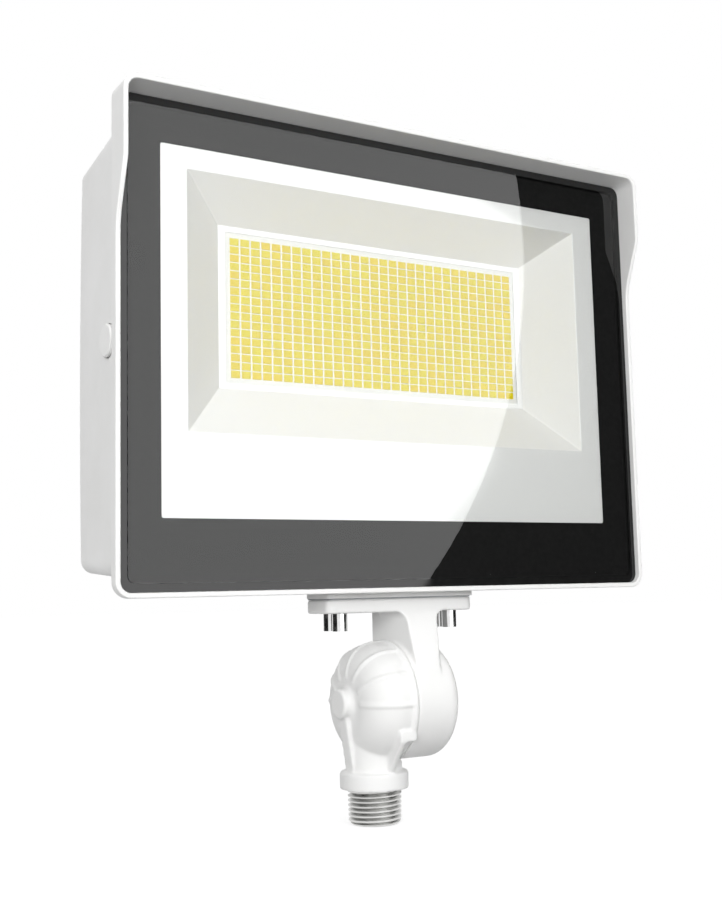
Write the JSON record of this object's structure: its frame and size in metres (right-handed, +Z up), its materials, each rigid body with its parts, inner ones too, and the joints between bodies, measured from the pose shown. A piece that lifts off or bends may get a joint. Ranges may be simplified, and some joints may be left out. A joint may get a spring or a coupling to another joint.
{
  "type": "flood light",
  "caption": "Hooded LED flood light with a finned rear housing, tilting on a friction knuckle that screws into a pipe-thread hub.",
  "frame": {"origin": "on the axis of the pipe thread, at the underside of the collar, where the thread starts", "axes": "+Z up along the thread axis, the light shines towards -Y, +X to the right seen from in front"},
  "size_m": [0.24, 0.0632, 0.2725],
  "materials": {
    "white_coat": "satin",
    "thread_metal": "satin",
    "bright_screw": "polished",
    "plated_steel": "satin",
    "black_rubber": "matte",
    "clear_glass": "polished",
    "black_print": "gloss",
    "reflector_white": "satin",
    "board_white": "satin",
    "phosphor": "satin",
    "pad_grey": "matte",
    "connector_white": "satin",
    "lead_red": "satin",
    "driver_case": "satin",
    "ground_brass": "satin",
    "plug_white": "satin"
  },
  "bodies": {
    "root": {"lower_knuckle": "white_coat", "threaded_nipple": "thread_metal", "pivot_bolt": "bright_screw", "bolt_washer": "plated_steel", "friction_washer": "plated_steel", "knuckle_seal": "black_rubber"},
    "head": {"upper_knuckle": "white_coat", "plate_gasket": "pad_grey", "plate_screws": "bright_screw", "front_frame": "white_coat", "front_glass": "clear_glass", "glass_border": "black_print", "glass_gasket": "black_rubber", "glass_seal": "black_rubber", "frame_screws": "plated_steel", "reflector_tray": "reflector_white", "led_board": "board_white", "led_chips": "phosphor", "thermal_pad": "pad_grey", "board_screws": "plated_steel", "board_connector": "connector_white", "led_leads": "lead_red", "rear_housing": "white_coat", "housing_gasket": "black_rubber", "driver": "driver_case", "driver_screws": "plated_steel", "ground_screw": "ground_brass", "wire_grommet": "black_rubber", "side_plug": "plug_white", "plug_seal": "black_rubber"}
  },
  "joints": [
    {"name": "knuckle_tilt", "type": "hinge", "parent": "root", "child": "head", "pos_m": [0.0067, 0, 0.0331], "axis": [1, 0, 0], "range_deg": [-90, 90]}
  ]
}
